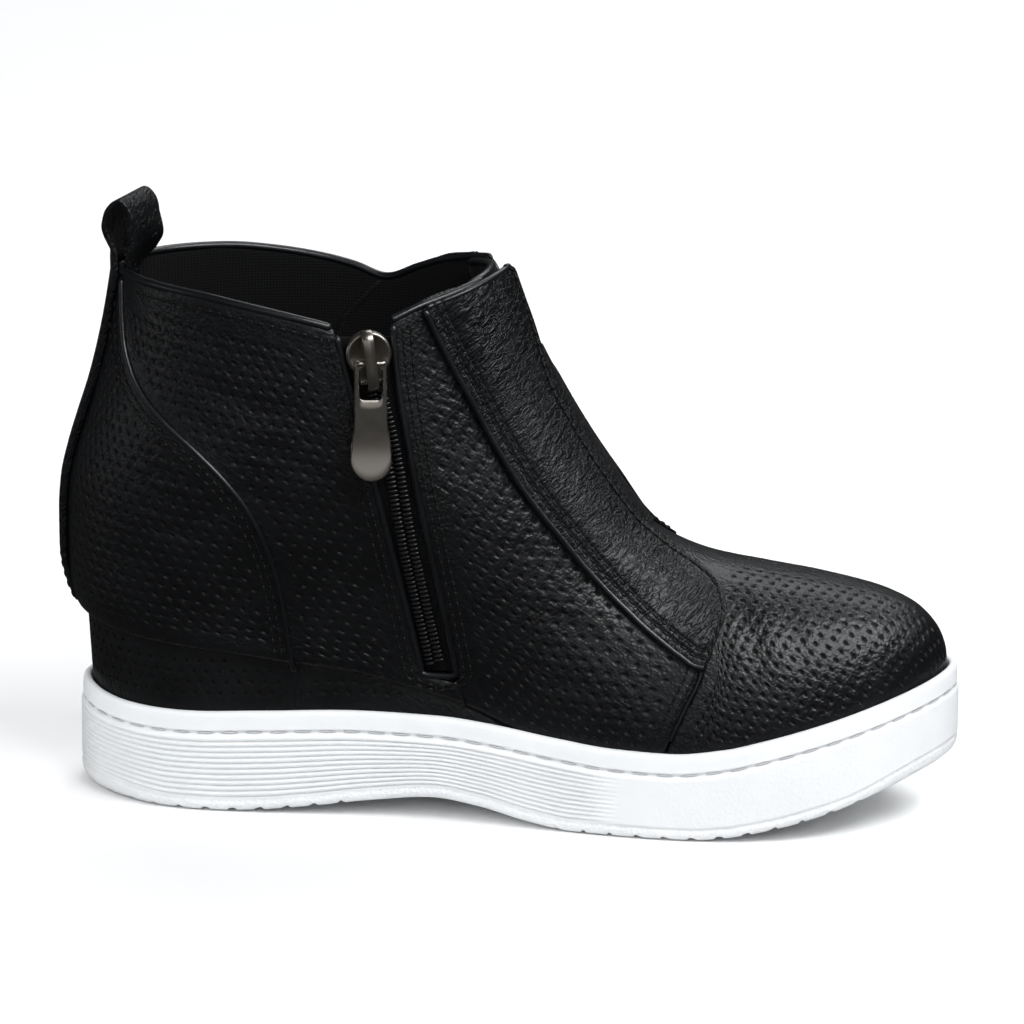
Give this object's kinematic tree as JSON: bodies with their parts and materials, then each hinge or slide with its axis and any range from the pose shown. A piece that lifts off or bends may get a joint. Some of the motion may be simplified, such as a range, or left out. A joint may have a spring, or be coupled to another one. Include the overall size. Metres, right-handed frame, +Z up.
{
  "type": "wedge sneaker",
  "caption": "Left ankle-high wedge sneaker: hollow perforated leather upper with front flaps, side zip with a hinged pull, heel loop, hidden wedge and white cup sole.",
  "frame": {"origin": "middle of the bounding box in plan, on the floor under the sole", "axes": "+X towards the toe, -Y towards the inner (zip) side, +Z up"},
  "size_m": [0.273, 0.097, 0.1816],
  "materials": {
    "white_rubber": "satin white rubber",
    "black_wedge_cover": "perforated black leather cover",
    "black_grained_leather": "perforated grained black leather",
    "black_smooth_leather": "grained black leather, glossier, unperforated",
    "black_lining": "black woven lining",
    "black_zip_tape": "black woven tape",
    "black_zip_coil": "black nylon coil",
    "gunmetal": "satin dark grey plating"
  },
  "bodies": {
    "shoe": {"cupsole": "white_rubber", "wedge": "black_wedge_cover", "insole": "black_lining", "upper": "black_grained_leather", "tongue": "black_grained_leather", "bridge": "black_smooth_leather", "flap_medial": "black_smooth_leather", "flap_lateral": "black_smooth_leather", "heel_strap": "black_smooth_leather", "zip_tape": "black_zip_tape", "zip_chain": "black_zip_coil", "zip_slider": "gunmetal"},
    "pull_tab": {"zip_pull": "gunmetal"}
  },
  "joints": [
    {"name": "pull_tab_swing", "type": "hinge", "parent": "shoe", "child": "pull_tab", "pos_m": [-0.03709, -0.04404, 0.14205], "axis": [-0.9767, -0.2145, 0], "range_deg": [0, 160]}
  ]
}
